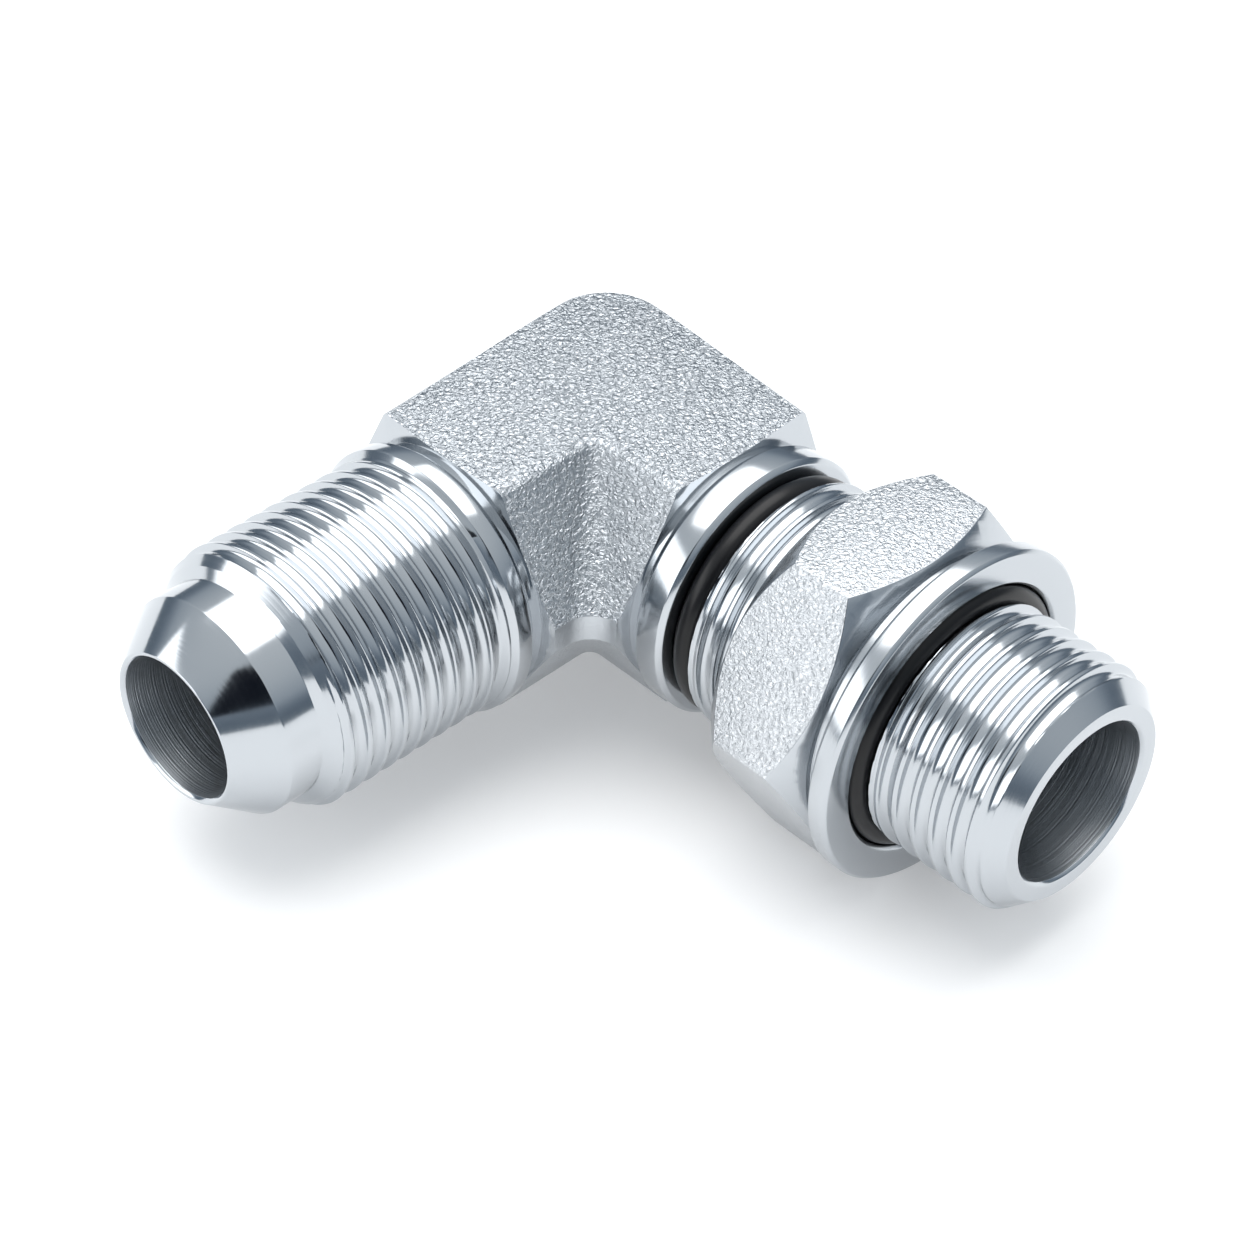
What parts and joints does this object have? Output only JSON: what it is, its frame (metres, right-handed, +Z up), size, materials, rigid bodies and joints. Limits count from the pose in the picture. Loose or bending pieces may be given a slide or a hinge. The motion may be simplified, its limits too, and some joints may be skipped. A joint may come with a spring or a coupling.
{
  "type": "ninety degree elbow adapter",
  "caption": "Forged ninety degree tube elbow with a 37 degree flare end and an adjustable threaded port stud that carries a lock nut, retaining ring and O-rings.",
  "frame": {"origin": "where the centre lines of the two arms cross", "axes": "+X along the stud arm towards the port thread, -Y along the flare arm towards its cone, +Z up, square to the plane of the bend"},
  "size_m": [0.0639, 0.0602, 0.0292],
  "materials": {
    "plated_forging": "bright zinc plate, grained on the forged faces and bright on the turned ones",
    "plated_nut": "bright zinc plate with a fine forged grain",
    "plated_ring": "bright zinc plate, finely turned",
    "seal_rubber": "satin black"
  },
  "bodies": {
    "elbow": {"elbow_body": "plated_forging", "stud_o_ring": "seal_rubber", "collar_o_ring": "seal_rubber"},
    "retaining_ring": {"backup_washer": "plated_ring"},
    "nut": {"lock_nut": "plated_nut"}
  },
  "joints": [
    {"name": "nut_travel", "type": "slide", "parent": "elbow", "child": "retaining_ring", "axis": [1, 0, 0], "range_m": [-0.0046, 0]},
    {"name": "nut_spin", "type": "hinge", "parent": "retaining_ring", "child": "nut", "pos_m": [0.032, 0, 0], "axis": [1, 0, 0], "range_deg": [-893, 0]}
  ],
  "couplings": [
    {"joint": "nut_travel", "follows": "nut_spin", "m_per_rad": 0.00028875}
  ]
}
